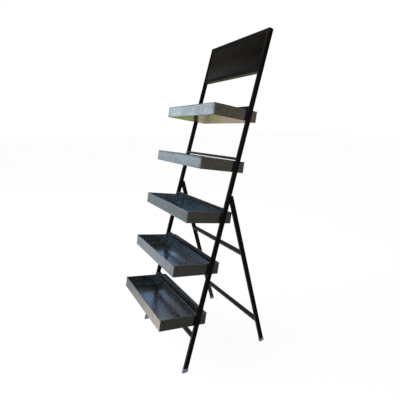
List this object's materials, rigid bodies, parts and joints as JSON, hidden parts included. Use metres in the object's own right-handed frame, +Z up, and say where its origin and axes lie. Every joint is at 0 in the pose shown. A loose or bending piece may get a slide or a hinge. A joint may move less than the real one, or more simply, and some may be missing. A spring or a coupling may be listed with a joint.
{
  "type": "folding plant ladder stand",
  "caption": "Leaning ladder frame with tilted galvanised trays, a chalkboard header and a hinged rear frame that folds flat.",
  "frame": {"origin": "centre of the outline on the floor", "axes": "+Z up, front faces -Y, +X to the right seen from the front"},
  "size_m": [0.5072, 0.5736, 1.52],
  "materials": {
    "frame_paint": "satin black powder coat",
    "galvanised": "hot-dip galvanised, spangled",
    "chalkboard": "matt chalk paint on hardboard",
    "black_oxide": "black oxide",
    "zinc_plate": "zinc plated",
    "nylon": "natural",
    "cap_plastic": "translucent soft vinyl"
  },
  "bodies": {
    "front_frame": {"upright_left": "frame_paint", "upright_right": "frame_paint", "top_rail": "frame_paint", "board_rail": "frame_paint", "base_stretcher": "frame_paint", "rung_1": "frame_paint", "rung_2": "frame_paint", "rung_3": "frame_paint", "rung_4": "frame_paint", "rung_5": "frame_paint", "tray_1": "galvanised", "tray_2": "galvanised", "tray_3": "galvanised", "tray_4": "galvanised", "tray_5": "galvanised", "tray_bottom_1": "galvanised", "tray_bottom_2": "galvanised", "tray_bottom_3": "galvanised", "tray_bottom_4": "galvanised", "tray_bottom_5": "galvanised", "tray_screws": "black_oxide", "tray_nuts": "zinc_plate", "lip_top": "frame_paint", "lip_bottom": "frame_paint", "lip_left": "frame_paint", "lip_right": "frame_paint", "chalkboard": "chalkboard", "board_screws": "black_oxide", "hinge_plate_left": "frame_paint", "hinge_plate_right": "frame_paint", "hinge_washers": "nylon", "hinge_pin_left": "zinc_plate", "hinge_pin_right": "zinc_plate", "hinge_nuts": "zinc_plate", "foot_front_left": "cap_plastic", "foot_front_right": "cap_plastic"},
    "rear_frame": {"rear_leg_left": "frame_paint", "rear_leg_right": "frame_paint", "rear_bar_upper": "frame_paint", "rear_bar_lower": "frame_paint", "foot_rear_left": "cap_plastic", "foot_rear_right": "cap_plastic"}
  },
  "joints": [
    {"name": "rear_frame_fold", "type": "hinge", "parent": "front_frame", "child": "rear_frame", "pos_m": [0, 0.07296, 0.74792], "axis": [-1, 0, 0], "range_deg": [0, 30.5]}
  ]
}
